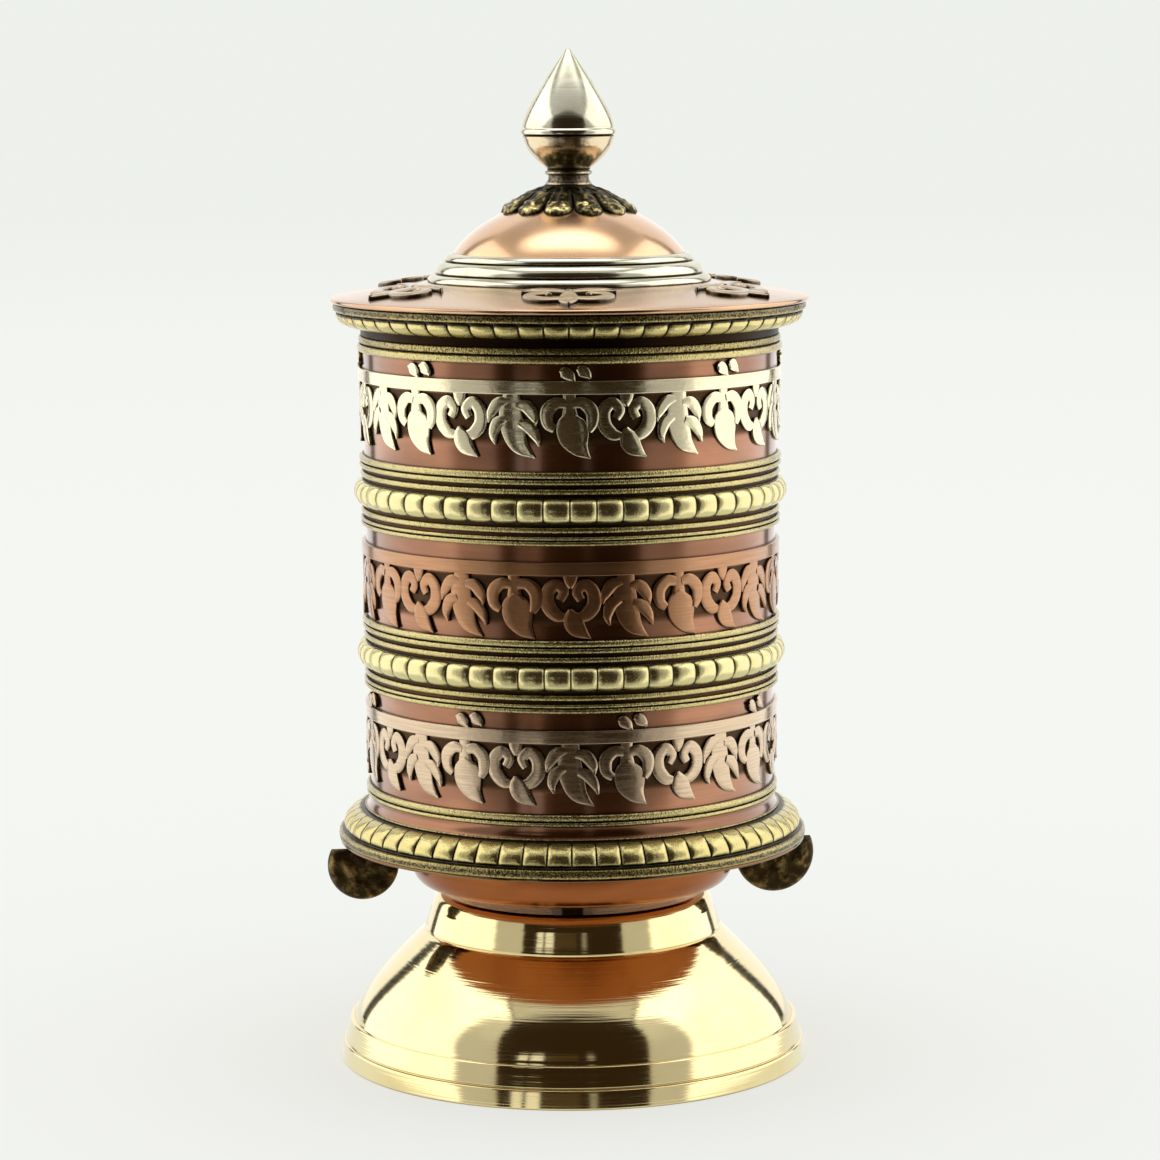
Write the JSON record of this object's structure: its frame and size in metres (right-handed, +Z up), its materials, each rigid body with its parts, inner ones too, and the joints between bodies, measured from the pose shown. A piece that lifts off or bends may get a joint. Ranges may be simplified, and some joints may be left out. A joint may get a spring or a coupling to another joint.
{
  "type": "tabletop prayer wheel",
  "caption": "Tabletop prayer wheel: copper drum with brass gadroon rings and relief friezes, spinning on a spindle over a spun brass foot, under a lift-off lid with a bud-shaped finial.",
  "frame": {"origin": "centre of the resting face, on the wheel's axis", "axes": "+Z up the spindle through the finial; +X towards the right-hand turning lug, which stands 7 degrees round from it; -Y faces the front"},
  "size_m": [0.1076, 0.1038, 0.22],
  "materials": {
    "polished_brass": "polished, with fine turning lines",
    "antique_brass": "antiqued, dark in the recesses and bright on the high points",
    "antique_copper": "antiqued copper, satin",
    "bright_copper": "polished copper",
    "white_metal": "burnished white metal, dark in the recesses",
    "rose_metal": "burnished pale copper, dark in the recesses",
    "bronze": "dark cast bronze",
    "steel": "turned",
    "turned_wood": "plain",
    "felt": "felt",
    "paper": "rolled hand-made paper",
    "silk": "silk ribbon"
  },
  "bodies": {
    "base": {"base_bell": "polished_brass", "base_plate": "turned_wood", "felt_pad": "felt", "spindle": "steel", "spindle_nut": "steel", "spindle_washer": "steel", "spindle_lock_nut": "steel"},
    "drum": {"drum_shell": "antique_copper", "drum_floor": "antique_brass", "bottom_dish": "bright_copper", "flange_plate": "bright_copper", "flange_band": "antique_brass", "flange_gadroon": "antique_brass", "cove_ring": "antique_copper", "foot_ring": "antique_brass", "lower_wide_rings": "antique_brass", "lower_fine_rings": "antique_brass", "lower_gadroon": "antique_brass", "upper_wide_rings": "antique_brass", "upper_fine_rings": "antique_brass", "upper_gadroon": "antique_brass", "rim_ring": "antique_brass", "frieze_top": "white_metal", "frieze_middle": "antique_copper", "frieze_bottom": "rose_metal", "core_tube": "antique_brass", "pivot_cup": "bronze", "lower_bush": "bronze", "prayer_scroll": "paper", "scroll_bands": "silk", "turning_lugs": "bronze", "lug_rivets": "antique_brass"},
    "lid": {"lid_cone": "antique_copper", "lid_skirt": "antique_copper", "lid_band": "antique_brass", "lid_gadroon": "antique_brass", "stepped_collar": "white_metal", "dome": "antique_copper", "petal_collar": "bronze", "lid_emblems": "bronze", "finial_cup": "bronze", "finial_drop": "white_metal", "finial_stud": "steel", "finial_nut": "steel", "finial_washer": "steel"}
  },
  "joints": [
    {"name": "drum_spin", "type": "hinge", "parent": "base", "child": "drum", "pos_m": [0, 0, 0.1], "axis": [0, 0, 1], "continuous": true},
    {"name": "lid_lift", "type": "slide", "parent": "drum", "child": "lid", "axis": [0, 0, 1], "range_m": [0, 0.05]}
  ]
}
